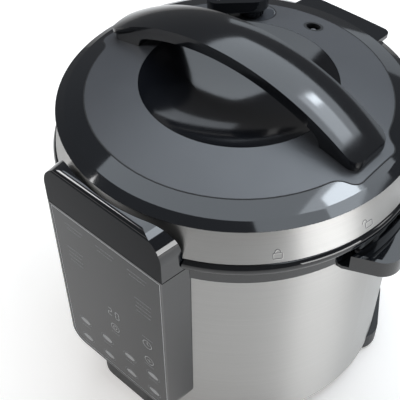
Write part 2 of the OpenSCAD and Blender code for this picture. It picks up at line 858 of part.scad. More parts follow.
// ---------- condensate cup ----------

// A block as wide as the cup, from the housing to the cup's back, drawn inwards by c
module cup_block(c, top) {
    difference() {
        translate([0, 0, cup_low + c]) linear_extrude(top - cup_low - c) difference() {
            translate([-cup_w / 2 + c, 0]) square([cup_w - 2 * c, cup_reach - c - 8]);
            circle(housing_r + bracket_t + 2 * fit + c, $fn = round_fn);
        }
    }
    translate([0, 0, cup_low + c]) linear_extrude(top - cup_low - c) intersection() {
        translate([-cup_w / 2 + c, 100]) square([cup_w - 2 * c, cup_reach - 100 - c]);
        difference() {
            union() {
                translate([-cup_w / 2 + 8, 100]) square([cup_w - 16, cup_reach - 100 - c]);
                for (s = [-1, 1]) translate([s * (cup_w / 2 - 8), cup_reach - 8]) circle(8 - c);
            }
            circle(housing_r + bracket_t + 2 * fit + c, $fn = round_fn);
        }
    }
}

module condensate_cup() {
    color("#3a3d42") difference() {
        cup_block(0, cup_low + cup_h);
        cup_block(cup_wall, cup_low + cup_h + 1);
    }
}

// Plate on the housing with a shelf and two cheeks that hold the cup
module cup_bracket() {
    color(black) translate([0, 0, cup_low - bracket_t - fit]) linear_extrude(cup_h * 0.8) intersection() {
        translate([-bracket_w / 2, 0]) square([bracket_w, housing_r + 2 * bracket_t]);
        difference() {
            circle(housing_r + bracket_t + fit, $fn = round_fn);
            circle(housing_r + 0.1, $fn = round_fn);
        }
    }
    color(black) translate([0, 0, cup_low - bracket_t - fit]) linear_extrude(bracket_t) difference() {
        translate([-bracket_w / 2, 0]) square([bracket_w, cup_reach - bracket_short]);
        circle(housing_r + 0.1, $fn = round_fn);
    }
    color(black) translate([0, 0, cup_low - bracket_t - fit]) linear_extrude(cup_h * 0.8) for (s = [-1, 1])
        difference() {
            translate([s * (bracket_w - bracket_t) / 2 - bracket_t / 2, 0])
                square([bracket_t, cup_reach - bracket_short]);
            circle(housing_r + 0.1, $fn = round_fn);
        }
}

// ---------- pot ----------

module inner_pot() {
    color("#9a9c9e") rotate_extrude($fn = round_fn) {
        difference() {
            vessel_profile(pot_r, z_pot_under, z_pot_top, pot_corner);
            vessel_profile(pot_r - pot_wall, z_pot_floor, z_pot_top + 1, pot_corner - pot_wall);
        }
        translate([pot_r - pot_wall, z_pot_rim]) square([lug_r - 5 - pot_r + pot_wall, pot_rim_t]);
    }
}

// ---------- inner plate of the lid ----------

module inner_plate() {
    color("#c3c5c6") difference() {
        translate([0, 0, z_inner]) cylinder(h = inner_t, r = plate_edge_r, $fn = round_fn);
        translate([0, 0, z_inner - 1]) cylinder(h = inner_t + 2, r = grommet_r - 2);
        for (i = [0:11]) rotate([0, 0, 30 * i + 15]) translate([66, 0, z_inner - 1])
            cylinder(h = inner_t + 2, r = 4);
        for (i = [0:5]) rotate([0, 0, 60 * i]) translate([36, 0, z_inner - 1])
            cylinder(h = inner_t + 2, r = 4);
    }
}

module sealing_ring() {
    lip = 1.2;
    color("#d9d7d0") rotate_extrude($fn = round_fn) difference() {
        translate([seal_in, z_seal]) square([seal_out - seal_in, seal_t]);
        translate([seal_in - 1, z_inner - 0.05]) square([plate_edge_r - seal_in + 1.05, inner_t + 0.1]);
        translate([seal_out - 4, z_seal + lip]) square([5, seal_t - 2 * lip]);
    }
}

module plate_grommet() {
    color(rubber) rotate_extrude() difference() {
        translate([post_dia / 2 + run_fit, z_inner - 1.5]) square([grommet_r - post_dia / 2, inner_t + 3]);
        translate([grommet_r - 2 - 0.05, z_inner - 0.05]) square([10, inner_t + 0.1]);
    }
}

// ---------- lid ----------

module pressure_lid() {
    t = lid_plate_t;
    color(steel) difference() {
        union() {
            rotate_extrude($fn = round_fn) polygon([
                [0, z_lid_plate], [seal_in - 2, z_lid_plate], [seal_in + 4, z_lid_under],
                [lid_skirt_in, z_lid_under], [lid_skirt_in, z_tooth - 0.6], [lid_skirt_out, z_tooth - 0.6],
                [lid_skirt_out, z_lid_under + t], [seal_in + 5, z_lid_under + t],
                [seal_in - 1, z_lid_plate + t], [0, z_lid_plate + t]]);
            for (i = [0:teeth - 1]) rotate([0, 0, 360 * i / teeth - tooth_angle / 2])
                rotate_extrude(angle = tooth_angle, $fn = round_fn)
                    translate([lug_r - 4, z_tooth]) square([lid_skirt_in - lug_r + 4.5, lug_t]);
        }
        translate([0, 0, z_lid_plate - 1]) cylinder(h = t + 2, r = 4.2);
        translate([steam_at.x, steam_at.y, z_lid_plate - 1]) cylinder(h = t + 2, r = pipe_r + 0.2);
        translate([float_at.x, float_at.y, z_lid_plate - 1]) cylinder(h = t + 2, r = pin_r + run_fit);
    }
}

module centre_post() {
    z_low = z_inner - 1.5 - fit - 2;
    color(dark_steel) {
        translate([0, 0, z_low]) cylinder(h = 2 + eps, r = grommet_r - 1.5);
        translate([0, 0, z_low + 2]) cylinder(h = z_lid_plate - z_low - 2, r = post_dia / 2);
        translate([0, 0, z_lid_plate]) cylinder(h = lid_plate_t + 0.4, r = 4);
        translate([0, 0, z_lid_plate + lid_plate_t]) cylinder(h = 2.4, r = 7, $fn = 6);
    }
}

// Moulded ring that closes the lid between its skirt and its band
module lid_frame() {
    color(black) difference() {
        rotate_extrude($fn = round_fn) translate([lid_skirt_out + fit, z_frame])
            square([band_r(z_frame + frame_t) - sheet - 2 * fit - lid_skirt_out, frame_t]);
        at_lid_screws() translate([0, 0, -1]) cylinder(h = lid_screw_len + 2, r = lid_screw_r + 0.2);
        at_lid_screws() translate([0, 0, -5]) cylinder(h = 5 + lid_head_t, r = lid_head_r + 0.2);
    }
}

// Places its children on the frame's underside, on each of its screws
module at_lid_screws() {
    for (i = [0:5]) rotate([0, 0, 60 * i + 20]) translate([lid_boss_at, 0, z_frame]) children();
}

module lid_band() {
    color(steel) rotate_extrude($fn = round_fn) polygon([
        [band_low_r, z_band], [band_top_r, z_rim], [band_top_r - sheet, z_rim],
        [band_low_r - sheet, z_band]]);
}

// Section of the rim and of the wall inside the band
module rim_section(r, crease) {
    polygon([
        [lid_skirt_out + 2, z_rim], [r - 1.5, z_rim], [r, z_rim + 1.6], [r, z_rim + 2.2],
        [crease + 0.8, z_crease - 0.25], [crease, z_crease], [crease - 3, z_crease - 2],
        [lid_skirt_out + 2, z_crease - 3]]);
    translate([lid_boss_at - 1, z_frame + frame_t + fit]) square([2, z_rim + 1 - z_frame - frame_t]);
}

module ear_outline() {
    y = ear_reach - ear_corner;
    translate([-ear_w / 2, 100]) square([ear_w, y - 100]);
    translate([-ear_w / 2 + ear_corner, 100]) square([ear_w - 2 * ear_corner, ear_reach - 100]);
    for (s = [-1, 1]) translate([s * (ear_w / 2 - ear_corner), y]) circle(ear_corner);
}

module lid_cover() {
    color(gloss_black) difference() {
        union() {
            dome_shell(dish_d / 2, crease_r, 0, disc_t + cover_t);
            rotate_extrude($fn = round_fn) rim_section(lid_r, crease_r);
            at_lid_screws() translate([0, 0, frame_t])
                cylinder(h = z_rim + 1 - z_frame - frame_t, r = lid_boss_r);
            // Ear at the back
            intersection() {
                translate([0, 0, z_rim]) linear_extrude(rim_h) ear_outline();
                rotate_extrude($fn = round_fn) polygon([
                    [crease_r - 4, z_rim], [ear_reach + 12, z_rim], [ear_reach + 12, z_crease - 2.2],
                    [crease_r, z_crease], [crease_r - 4, z_crease]]);
            }
        }
        // Pocket for the satin disc
        intersection() {
            dome_shell(0, crease_r, -3, disc_t + 3);
            linear_extrude(z_rim + 60) disc_outline(0.25);
        }
        valve_holes(0.2);
        handle_screw_holes(screw_r + 0.3);
        at_lid_screws() cylinder(h = lid_screw_len + 4, r = lid_screw_r + 0.05);
        // Spot faces for the heads of the handle's screws
        for (x = [-1, 1], y = [-1, 1]) translate([x * screw_at.x, y * screw_at.y, handle_seat - spot_depth])
            cylinder(h = spot_depth, r = spot_r);
    }
}

// Openings for the steam valve's well and the float valve's bezel, grown by c
module valve_holes(c) {
    translate([steam_at.x, steam_at.y, z_rim - 20]) cylinder(h = 60, r = well_r + c);
    translate([float_at.x, float_at.y, z_rim - 20]) cylinder(h = 60, r = bezel_r + c);
}

module handle_screw_holes(r) {
    for (x = [-1, 1], y = [-1, 1]) translate([x * screw_at.x, y * screw_at.y, z_rim - 20])
        cylinder(h = 60, r = r);
}

module lid_disc() {
    color(satin) difference() {
        intersection() {
            dome_shell(dish_d / 2 + 0.15, crease_r, 0, disc_t - 0.05);
            linear_extrude(z_rim + 60) disc_outline(0);
        }
        valve_holes(0.2);
        handle_screw_holes(screw_r + 0.3);
    }
}

// Bowl-shaped dish under the handle
module lid_dish() {
    edge_r = dish_d / 2 - 0.15;
    z_edge = dome_z(edge_r);
    bowl_r = (pow(edge_r, 2) + pow(dish_depth, 2)) / (2 * dish_depth);
    t = 2.4;
    color(gloss_black) rotate_extrude($fn = round_fn) intersection() {
        translate([0, z_rim - 12]) square([edge_r, z_edge - z_rim + 12]);
        difference() {
            translate([0, z_edge - dish_depth + bowl_r]) circle(bowl_r + t, $fn = 240);
            translate([0, z_edge - dish_depth + bowl_r]) circle(bowl_r, $fn = 240);
        }
    }
}

// Upper shell of the handle, with rounded ends
module handle_shell() {
    half_angle = asin(handle_len / 2 / arch_r) + 3;
    color(gloss_black) intersection() {
        difference() {
            arch(half_angle) shell_section(0);
            arch(half_angle - 6) translate([arch_r - shell_t - 1, -handle_w / 2 + wall])
                square([shell_t + crown - 2, handle_w - 2 * wall]);
            translate([0, 0, z_dome]) sphere(dome_r + 0.1, $fn = 360);
        }
        translate([0, 0, z_rim]) linear_extrude(80) round_rect(handle_len, handle_w, 9);
    }
}

// Lower shell of the handle with its two feet
module handle_base() {
    w = handle_w - 2 * base_inset;
    len = handle_len - 2 * base_inset;
    low_r = arch_r - shell_t - 0.1;
    color(gloss_black) difference() {
        intersection() {
            translate([0, w / 2 + 1, z_arch]) rotate([90, 0, 0]) linear_extrude(w + 2) difference() {
                intersection() {
                    circle(low_r, $fn = round_fn);
                    translate([-handle_len / 2, z_rim - z_arch]) square([handle_len, 80]);
                }
                finger_gap();
            }
            translate([0, 0, z_rim]) linear_extrude(80) round_rect(len, w, 8);
        }
        translate([0, 0, z_dome]) sphere(dome_r + 0.1, $fn = 360);
        for (x = [-1, 1], y = [-1, 1]) translate([x * screw_at.x, y * screw_at.y, z_rim])
            cylinder(h = handle_seat + handle_screw_len + 1 - z_rim, r = screw_r * 0.9);
    }
}

module handle_screws() {
    color(dark_steel) for (x = [-1, 1], y = [-1, 1]) translate([x * screw_at.x, y * screw_at.y, 0])
        screw(handle_seat, handle_screw_len, screw_r * 0.85, screw_head_r, 2);
}

module steam_pipe() {
    z_low = z_lid_plate - 1.5;
    color(steel) translate([steam_at.x, steam_at.y, 0]) difference() {
        union() {
            translate([0, 0, z_low]) cylinder(h = 1.5, r = pipe_r + 2.5);
            translate([0, 0, z_low]) cylinder(h = z_valve + 6 - z_low, r = pipe_r);
        }
        translate([0, 0, z_low - 1]) cylinder(h = 60, r = pipe_bore);
    }
}

module pipe_nut() {
    color(dark_steel) translate([steam_at.x, steam_at.y, z_lid_plate + lid_plate_t]) difference() {
        cylinder(h = 4, r = 9, $fn = 6);
        translate([0, 0, -1]) cylinder(h = 6, r = pipe_r + 0.1);
    }
}

// Shallow round seat in the lid's top that the steam valve stands in
module valve_well() {
    color(gloss_black) translate([steam_at.x, steam_at.y, 0]) difference() {
        translate([0, 0, z_well - 1.5]) cylinder(h = well_depth + 1.5, r = well_r);
        translate([0, 0, z_well]) cylinder(h = well_depth + 5, r = well_r - 1.5);
        translate([0, 0, z_well - 3]) cylinder(h = 6, r = pipe_r + 0.2);
        translate([-steam_at.x, -steam_at.y, z_dome]) dome_cap();
    }
}

// Everything above the dome, for trimming what stands in it
module dome_cap() {
    difference() {
        translate([-160, -160, dome_r - 80]) cube([320, 320, 160]);
        sphere(dome_r - 0.02, $fn = 360);
    }
}

module filter_cap() {
    z = z_inner + inner_t + 0.8;
    color(steel) translate([steam_at.x, steam_at.y, 0]) difference() {
        translate([0, 0, z]) cylinder(h = z_lid_plate - z, r = 9);
        translate([0, 0, z + 0.8]) cylinder(h = 10, r = 8.2);
        for (i = [0:5]) rotate([0, 0, 60 * i]) translate([5, 0, z - 1]) cylinder(h = 3, r = 1.3);
    }
}

module steam_knob() {
    color(gloss_black) translate([steam_at.x, steam_at.y, 0]) difference() {
        union() {
            translate([0, 0, z_well + 1]) cylinder(h = z_knob - z_well - 1, r = knob_base_r);
            translate([0, 0, z_knob - 10]) linear_extrude(10) hull() {
                circle(knob_head_r, $fn = 2 * flat_fn);
                rotate(lever_dir) translate([lever_len, 0]) circle(lever_end_r, $fn = flat_fn);
            }
        }
        translate([0, 0, z_well]) cylinder(h = z_valve + 11 - z_well, r = pipe_r + run_fit);
    }
}

module valve_weight() {
    color("#b08d4a") translate([steam_at.x, steam_at.y, z_valve + 6.2]) cylinder(h = 4.5, r = pipe_r - 0.1);
}

module float_bezel() {
    color(gloss_black) translate([float_at.x, float_at.y, 0]) difference() {
        translate([0, 0, z_valve - disc_t - cover_t]) cylinder(h = disc_t + cover_t + 1, r = bezel_r);
        translate([0, 0, z_valve - 20]) cylinder(h = 40, r = bezel_hole);
        translate([-float_at.x, -float_at.y, z_dome]) dome_cap();
    }
}

module float_pin() {
    color(steel) translate([float_at.x, float_at.y, z_float + float_cap_t])
        cylinder(h = z_valve - float_travel - z_float - float_cap_t, r = pin_r);
}

module float_seal() {
    color("#b3372b") translate([float_at.x, float_at.y, z_float]) difference() {
        cylinder(h = float_cap_t, r = float_cap_r);
        translate([0, 0, -1]) cylinder(h = 2.4, r = 2);
    }
}

// Screws that hold the lid's frame to the cover
module lid_screws() {
    color(dark_steel) at_lid_screws() screw(lid_head_t, lid_screw_len, lid_screw_r, lid_head_r,
        lid_head_t - 0.1);
}

base_cover();
foot_pads();
base_screws();
steel_housing();
top_ring();
side_handle_right();
side_handle_left();
side_handle_screws();
lock_flange();
outer_liner();
support_posts();
heating_plate();
heating_element();
thermal_cutout();
sensor_plunger();
sensor_spring();
power_board();
mains_inlet();
inlet_pins();
panel_housing();
panel_brow();
panel_glass();
control_board();
display_module();
touch_springs();
board_screws();
cup_bracket();
condensate_cup();
inner_pot();
inner_plate();
sealing_ring();
plate_grommet();
pressure_lid();
centre_post();
lid_frame();
lid_band();
lid_cover();
lid_disc();
lid_dish();
handle_shell();
handle_base();
handle_screws();
steam_pipe();
pipe_nut();
valve_well();
filter_cap();
steam_knob();
valve_weight();
float_bezel();
float_pin();
float_seal();
lid_screws();
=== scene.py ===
import bpy, math
from mathutils import Matrix, Vector


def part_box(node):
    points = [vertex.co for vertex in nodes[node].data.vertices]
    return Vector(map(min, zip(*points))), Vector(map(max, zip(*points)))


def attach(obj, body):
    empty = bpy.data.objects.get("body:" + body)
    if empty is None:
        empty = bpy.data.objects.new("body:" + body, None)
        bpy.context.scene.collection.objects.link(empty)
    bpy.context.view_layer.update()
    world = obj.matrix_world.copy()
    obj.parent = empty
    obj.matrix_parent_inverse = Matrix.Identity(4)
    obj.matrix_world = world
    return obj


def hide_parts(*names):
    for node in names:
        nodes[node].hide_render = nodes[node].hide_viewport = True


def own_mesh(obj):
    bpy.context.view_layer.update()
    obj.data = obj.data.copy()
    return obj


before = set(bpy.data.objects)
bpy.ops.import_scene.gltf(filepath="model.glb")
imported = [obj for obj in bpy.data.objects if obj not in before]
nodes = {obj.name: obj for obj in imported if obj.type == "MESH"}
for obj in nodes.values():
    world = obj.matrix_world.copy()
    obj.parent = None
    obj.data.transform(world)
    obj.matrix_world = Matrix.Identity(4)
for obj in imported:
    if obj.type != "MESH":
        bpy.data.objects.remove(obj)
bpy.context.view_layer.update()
scene = bpy.context.scene
MM = 0.001
# A point counts as on a ring or a face within this many mm
NEAR = 0.1
# A face's normal counts as turned up above the first value, and as level below the second
FACES_UP, FACES_LEVEL = 0.8, 0.3
WHITE = (1.0, 1.0, 1.0)

# ---------- camera ----------
# Fitted to the circles of the lid, ring and body and to the panel's upright edges
SENSOR_WIDTH = 36.0
FOCAL_LENGTH = 73.58
CAMERA_PLACE = (0.30768, -0.37936, 0.64752)
CAMERA_RIGHT = Vector((0.74044, 0.67210, -0.00534))
CAMERA_UP = Vector((-0.48384, 0.53852, 0.68985))
CAMERA_BACK = Vector((0.46652, -0.50821, 0.72393))

cam_data = bpy.data.cameras.new("camera")
cam_data.sensor_width = SENSOR_WIDTH
cam_data.lens = FOCAL_LENGTH
cam_data.clip_start = 0.01
camera = bpy.data.objects.new("camera", cam_data)
scene.collection.objects.link(camera)
turn = Matrix((CAMERA_RIGHT, CAMERA_UP, CAMERA_BACK)).transposed().to_4x4()
camera.matrix_world = Matrix.Translation(CAMERA_PLACE) @ turn
scene.camera = camera


# ---------- materials ----------
class Mat:
    """A node material round one Principled shader."""

    def __init__(self, name):
        self.m = bpy.data.materials.new(name)
        self.m.use_nodes = True
        self.t = self.m.node_tree
        self.t.nodes.clear()
        self.out = self.n("ShaderNodeOutputMaterial")
        self.b = self.n("ShaderNodeBsdfPrincipled")
        self.link(self.b.outputs[0], self.out.inputs[0])

    def n(self, kind, **kw):
        node = self.t.nodes.new(kind)
        for k, v in kw.items():
            setattr(node, k, v)
        return node

    def link(self, a, b):
        self.t.links.new(a, b)

    def set(self, **kw):
        for k, v in kw.items():
            sock = self.b.inputs[k.replace("_", " ")]
            sock.default_value = (*v, 1.0) if isinstance(v, tuple) and len(v) == 3 else v
        return self

    def noise(self, scale, detail=3.0, rough=0.55, vec=(1, 1, 1)):
        """Noise in the object's own coordinates, stretched by vec."""
        tc = self.n("ShaderNodeTexCoord")
        mp = self.n("ShaderNodeMapping")
        mp.inputs["Scale"].default_value = vec
        self.link(tc.outputs["Object"], mp.inputs["Vector"])
        nz = self.n("ShaderNodeTexNoise")
        nz.inputs["Scale"].default_value = scale
        nz.inputs["Detail"].default_value = detail
        nz.inputs["Roughness"].default_value = rough
        self.link(mp.outputs[0], nz.inputs["Vector"])
        return nz.outputs[0]

    def span(self, src, low, high):
        """src, from 0 to 1, mapped to low to high."""
        mr = self.n("ShaderNodeMapRange")
        mr.inputs["To Min"].default_value = low
        mr.inputs["To Max"].default_value = high
        self.link(src, mr.inputs["Value"])
        return mr.outputs[0]

    def mix(self, fac, a, b):
        """Colour a where fac is 0, b where it is 1."""
        mx = self.n("ShaderNodeMix", data_type="RGBA")
        self.link(fac, mx.inputs[0])
        mx.inputs[6].default_value = (*a, 1.0)
        mx.inputs[7].default_value = (*b, 1.0)
        return mx.outputs[2]

    def finish(self, colour, rough, height, strength, distance):
        """Links colour, roughness and a bump from height to the shader."""
        self.link(colour, self.b.inputs["Base Color"])
        self.link(rough, self.b.inputs["Roughness"])
        bp = self.n("ShaderNodeBump")
        bp.inputs["Strength"].default_value = strength
        bp.inputs["Distance"].default_value = distance
        self.link(height, bp.inputs["Height"])
        self.link(bp.outputs[0], self.b.inputs["Normal"])
        return self.m


def shade(colour, factor, lift=0.0):
    return tuple(min(1.0, c * factor + lift) for c in colour)


def gloss(name, colour, rough=0.07, wave=0.02, shine=0.65):
    """Moulded gloss plastic: faint flow waviness and fine hairline wear in its roughness."""
    k = Mat(name).set(Specular_IOR_Level=shine, IOR=1.5)
    return k.finish(k.mix(k.noise(14, 2), colour, shade(colour, 1.35, 0.001)),
                    k.span(k.noise(90, 4, 0.6), rough * 0.7, rough * 1.5),
                    k.noise(28, 1), wave, 0.0006)


def satin(name, colour, rough=0.45, grain=1500, depth=0.12, metallic=0.0, vary=0.12, shine=0.5):
    """Fine-grained satin surface."""
    k = Mat(name).set(Metallic=metallic, Specular_IOR_Level=shine)
    return k.finish(k.mix(k.noise(30, 4), shade(colour, 1 - vary), shade(colour, 1 + vary)),
                    k.span(k.noise(60, 3), rough * 0.9, rough * 1.1),
                    k.noise(grain, 2), depth, 0.00015)


def brushed(name, colour, rough=0.3, depth=0.16, aniso=0.6):
    """Steel brushed round the body: long streaks with fine cross-grain variation."""
    k = Mat(name).set(Metallic=1.0, Anisotropic=aniso, Anisotropic_Rotation=0.25)
    streak = k.noise(1.0, 4, 0.7, (7, 7, 1700))
    tangent = k.n("ShaderNodeTangent", direction_type="RADIAL", axis="Z")
    k.link(tangent.outputs[0], k.b.inputs["Tangent"])
    return k.finish(k.mix(streak, shade(colour, 0.86), shade(colour, 1.08)),
                    k.span(k.noise(1.0, 5, 0.7, (11, 11, 2600)), rough * 0.75, rough * 1.3),
                    streak, depth, 0.00006)


def metal(name, colour, rough=0.25, grain=200):
    """Plain worked or cast metal."""
    k = Mat(name).set(Metallic=1.0)
    return k.finish(k.mix(k.noise(grain, 4), shade(colour, 0.85), colour),
                    k.span(k.noise(grain * 2, 3), rough * 0.7, rough * 1.4),
                    k.noise(grain * 3, 2), 0.08, 0.0001)


M = {
    "gloss_black": gloss("gloss_black", (0.006, 0.0068, 0.0085), 0.04, 0.01),
    "lid_black": gloss("lid_black", (0.008, 0.009, 0.011), 0.05, 0.008),
    "dish_black": gloss("dish_black", (0.004, 0.0045, 0.006), 0.09, 0.01, 0.6),
    "seat_grey": gloss("seat_grey", (0.05, 0.054, 0.062), 0.12, 0.01),
    "panel_black": gloss("panel_black", (0.006, 0.007, 0.009), 0.05, 0.006, 0.85),
    "brow_black": gloss("brow_black", (0.004, 0.005, 0.007), 0.04, 0.006, 0.8),
    # Same black as the brow with a low specular level: painted dark reflection on its front face
    "brow_front_dark_reflection": gloss("brow_front_dark_reflection", (0.004, 0.005, 0.007), 0.05, 0.006, 0.05),
    "glass_black": gloss("glass_black", (0.010, 0.011, 0.013), 0.05, 0.003, 0.33),
    "handle_black": gloss("handle_black", (0.006, 0.0068, 0.0085), 0.10, 0.008, 0.8),
    "matte_black": satin("matte_black", (0.016, 0.017, 0.019), 0.5),
    "disc_grey": satin("disc_grey", (0.046, 0.049, 0.056), 0.45, 2200, 0.10, 0.15, 0.12, 1.0),
    "cup_grey": satin("cup_grey", (0.03, 0.032, 0.036), 0.35),
    "rubber": satin("rubber", (0.012, 0.012, 0.013), 0.8, 900, 0.2),
    "silicone": satin("silicone", (0.62, 0.61, 0.57), 0.55, 900, 0.1),
    "red": satin("red_silicone", (0.35, 0.03, 0.02), 0.5, 900, 0.1),
    "steel": brushed("brushed_steel", (0.50, 0.497, 0.488), 0.42, 0.16, 0.85),
    "sheet": brushed("sheet_steel", (0.60, 0.60, 0.61), 0.24, 0.08, 0.3),
    "dark_steel": metal("dark_steel", (0.22, 0.22, 0.23), 0.35),
    "cast": metal("cast_aluminium", (0.55, 0.56, 0.57), 0.45, 350),
    "pot": brushed("pot_metal", (0.42, 0.43, 0.44), 0.3, 0.1, 0.4),
    "plate": metal("plate_aluminium", (0.70, 0.70, 0.71), 0.3),
    "brass": metal("brass", (0.55, 0.40, 0.16), 0.3),
    "board": satin("board", (0.012, 0.09, 0.035), 0.4, 400, 0.3),
    "ceramic": satin("ceramic", (0.62, 0.60, 0.55), 0.5, 700, 0.2),
    # Light grey of the glass's edge line: painted highlight
    "line": satin("edge_painted_highlight", (0.62, 0.63, 0.65), 0.4, 1500, 0.05, 0.3),
    "print": satin("print_grey", (0.20, 0.205, 0.215), 0.5, 1500, 0.05),
    "key": satin("key_grey", (0.35, 0.355, 0.36), 0.5, 1500, 0.05),
    # Dark copy of the embossed steel: painted shade along the padlocks' relief
    "emboss": satin("emboss_painted_shade", (0.16, 0.16, 0.165), 0.35, 1500, 0.05, 0.8),
    # Light copy of the embossed steel: painted highlight along the padlocks' relief
    "emboss_painted_highlight": satin("emboss_painted_highlight", (0.72, 0.715, 0.70), 0.3, 1500, 0.05, 1.0),
}

# Which nodes wear each material
WEARS = {
    "matte_black": "base_cover mains_inlet display_module cup_bracket lid_frame float_bezel",
    "rubber": "foot_pads plate_grommet",
    "dark_steel": "base_screws side_handle_screws support_posts heating_element sensor_spring touch_springs "
                  "board_screws centre_post handle_screws pipe_nut float_pin lid_screws",
    "steel": "steel_housing lid_band",
    "gloss_black": "top_ring side_handle_right side_handle_left handle_base steam_knob",
    "sheet": "lock_flange outer_liner pressure_lid",
    "cast": "heating_plate",
    "ceramic": "thermal_cutout",
    "plate": "sensor_plunger inlet_pins inner_plate steam_pipe filter_cap",
    "board": "power_board control_board",
    "panel_black": "panel_housing",
    "brow_black": "panel_brow",
    "glass_black": "panel_glass",
    "cup_grey": "condensate_cup",
    "pot": "inner_pot",
    "silicone": "sealing_ring",
    "lid_black": "lid_cover",
    "disc_grey": "lid_disc",
    "dish_black": "lid_dish",
    "handle_black": "handle_shell",
    "seat_grey": "valve_well",
    "brass": "valve_weight",
    "red": "float_seal",
}
for look, names in WEARS.items():
    for name in names.split():
        mesh = nodes[name].data
        mesh.materials.clear()
        mesh.materials.append(M[look])

# The brow's front face has the same black with a low specular level, so that it reflects little: a painted
# dark reflection against its top and sides
FRONT_FACING = -0.9
brow = nodes["panel_brow"].data
brow.materials.append(M["brow_front_dark_reflection"])
for face in brow.polygons:
    if face.normal.y < FRONT_FACING:
        face.material_index = 1


# ---------- helpers for the detail pieces ----------
# How far the pieces' roots are sunk into what carries them, in mm
WALL_ROOT, FLAT_ROOT, DOME_ROOT, STEM_ROOT = 0.05, 0.02, 0.03, 0.1


def ride(ob, body):
    """Links a new object, which rides on a body."""
    scene.collection.objects.link(ob)
    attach(ob, body)
    return ob


def piece(name, mesh, look, body):
    """A new object from (verts, faces)."""
    verts, faces = mesh
    me = bpy.data.meshes.new(name)
    me.from_pydata([tuple(v) for v in verts], [], faces)
    me.validate()
    me.update()
    me.materials.append(M[look])
    return ride(bpy.data.objects.new(name, me), body)


def ribbon(path, width, closed=False):
    """Left and right edges of a flat line of the given width along a 2D path."""
    n = len(path)
    out = []
    for i, p in enumerate(path):
        a = path[(i - 1) % n] if closed or i > 0 else p
        b = path[(i + 1) % n] if closed or i < n - 1 else p
        d = Vector((b[0] - a[0], b[1] - a[1]))
        d.normalize()
        nrm = Vector((-d.y, d.x)) * width / 2
        out.append(((p[0] + nrm.x, p[1] + nrm.y), (p[0] - nrm.x, p[1] - nrm.y)))
    return out


def line_mesh(paths, width, height, place):
    """Raised lines: place maps (u, v, h) in mm to a point in metres."""
    verts, faces = [], []
    for path, closed in paths:
        edges = ribbon(path, width, closed)
        base = len(verts)
        for left, right in edges:
            verts += [place(*left, 0), place(*left, height), place(*right, height), place(*right, 0)]
        n = len(edges)
        for i in range(n if closed else n - 1):
            a, b = base + 4 * i, base + 4 * ((i + 1) % n)
            for k in range(4):
                faces.append((a + k, a + (k + 1) % 4, b + (k + 1) % 4, b + k))
        if not closed:
            e = base + 4 * (n - 1)
            faces += [(base + 3, base + 2, base + 1, base), (e, e + 1, e + 2, e + 3)]
    return verts, faces


def patch_mesh(outlines, height, place):
    """Flat raised patches with a short side wall."""
    verts, faces = [], []
    for pts in outlines:
        b, n = len(verts), len(pts)
        verts += [place(x, y, height) for x, y in pts] + [place(x, y, 0) for x, y in pts]
        faces.append(tuple(range(b, b + n)))
        faces += [(b + i, b + n + i, b + n + (i + 1) % n, b + (i + 1) % n) for i in range(n)]
    return verts, faces


def arc(cx, cy, r, a0, a1, n=12, ry=None):
    ry = r if ry is None else ry
    return [(cx + r * math.cos(math.radians(a0 + (a1 - a0) * i / n)),
             cy + ry * math.sin(math.radians(a0 + (a1 - a0) * i / n))) for i in range(n + 1)]


def ring(cx, cy, r, n=28, ry=None):
    """A full circle or ellipse as a closed path."""
    return arc(cx, cy, r, 0, 360, n, ry)[:-1]


def rounded(w, h, r, n=5):
    """A rounded rectangle round the origin, as a closed path."""
    pts = []
    for sx, sy, a in ((1, 1, 0), (-1, 1, 90), (-1, -1, 180), (1, -1, 270)):
        pts += arc(sx * (w / 2 - r), sy * (h / 2 - r), r, a, a + 90, n)
    return pts


def reach(point):
    """Distance of a point from the part's axis, in metres."""
    return math.hypot(point.x, point.y)


def outer_radius(node):
    """The node's largest radius as a function of the height, in metres, from its own vertices."""
    vs = [(v.co.z, reach(v.co)) for v in nodes[node].data.vertices]
    zs = sorted({round(z, 5) for z, _ in vs})
    profile = [(q, max(r for z, r in vs if abs(z - q) < 2e-5)) for q in zs]

    def radius(z):
        for (z0, r0), (z1, r1) in zip(profile, profile[1:]):
            if z0 <= z <= z1:
                return r0 + (r1 - r0) * (z - z0) / (z1 - z0)
        return profile[-1][1]
    return radius


def on_wall(angle, z, radius):
    """Place on a wall round the axis: u along it, v up, h outwards. Its root is sunk into the wall."""
    def place(u, v, h):
        zz = z + v * MM
        r = radius(zz)
        a = math.radians(angle) + u * MM / r
        r += (h - WALL_ROOT) * MM
        return (r * math.cos(a), r * math.sin(a), zz)
    return place


# ---------- lid cover with a steeper rim than the solid has, so that a crease shows round its dome ----------
# Points of the rim's section in mm, and how far each one sinks
CREASE_R, FOLD_R, EDGE_R = 131.5, 132.3, 139.0
FOLD_Z, EDGE_Z, EDGE_LOW_Z = 254.4, 252.2, 251.6
FOLD_DROP, EDGE_DROP, EDGE_LOW_DROP = 0.2, 1.35, 1.05


def rim_drop(x, y, z):
    """How far a point of the cover's rim sinks, in mm, and whether it lies on the sloping face."""
    r, z = math.hypot(x, y) / MM, z / MM
    t = (r - FOLD_R) / (EDGE_R - FOLD_R)
    if -0.01 < t < 1.02 and abs(z - (FOLD_Z + (EDGE_Z - FOLD_Z) * t)) < NEAR:
        return FOLD_DROP + (EDGE_DROP - FOLD_DROP) * t, True
    if abs(r - EDGE_R) < NEAR and abs(z - EDGE_LOW_Z) < NEAR:
        return EDGE_LOW_DROP, False
    return 0.0, False


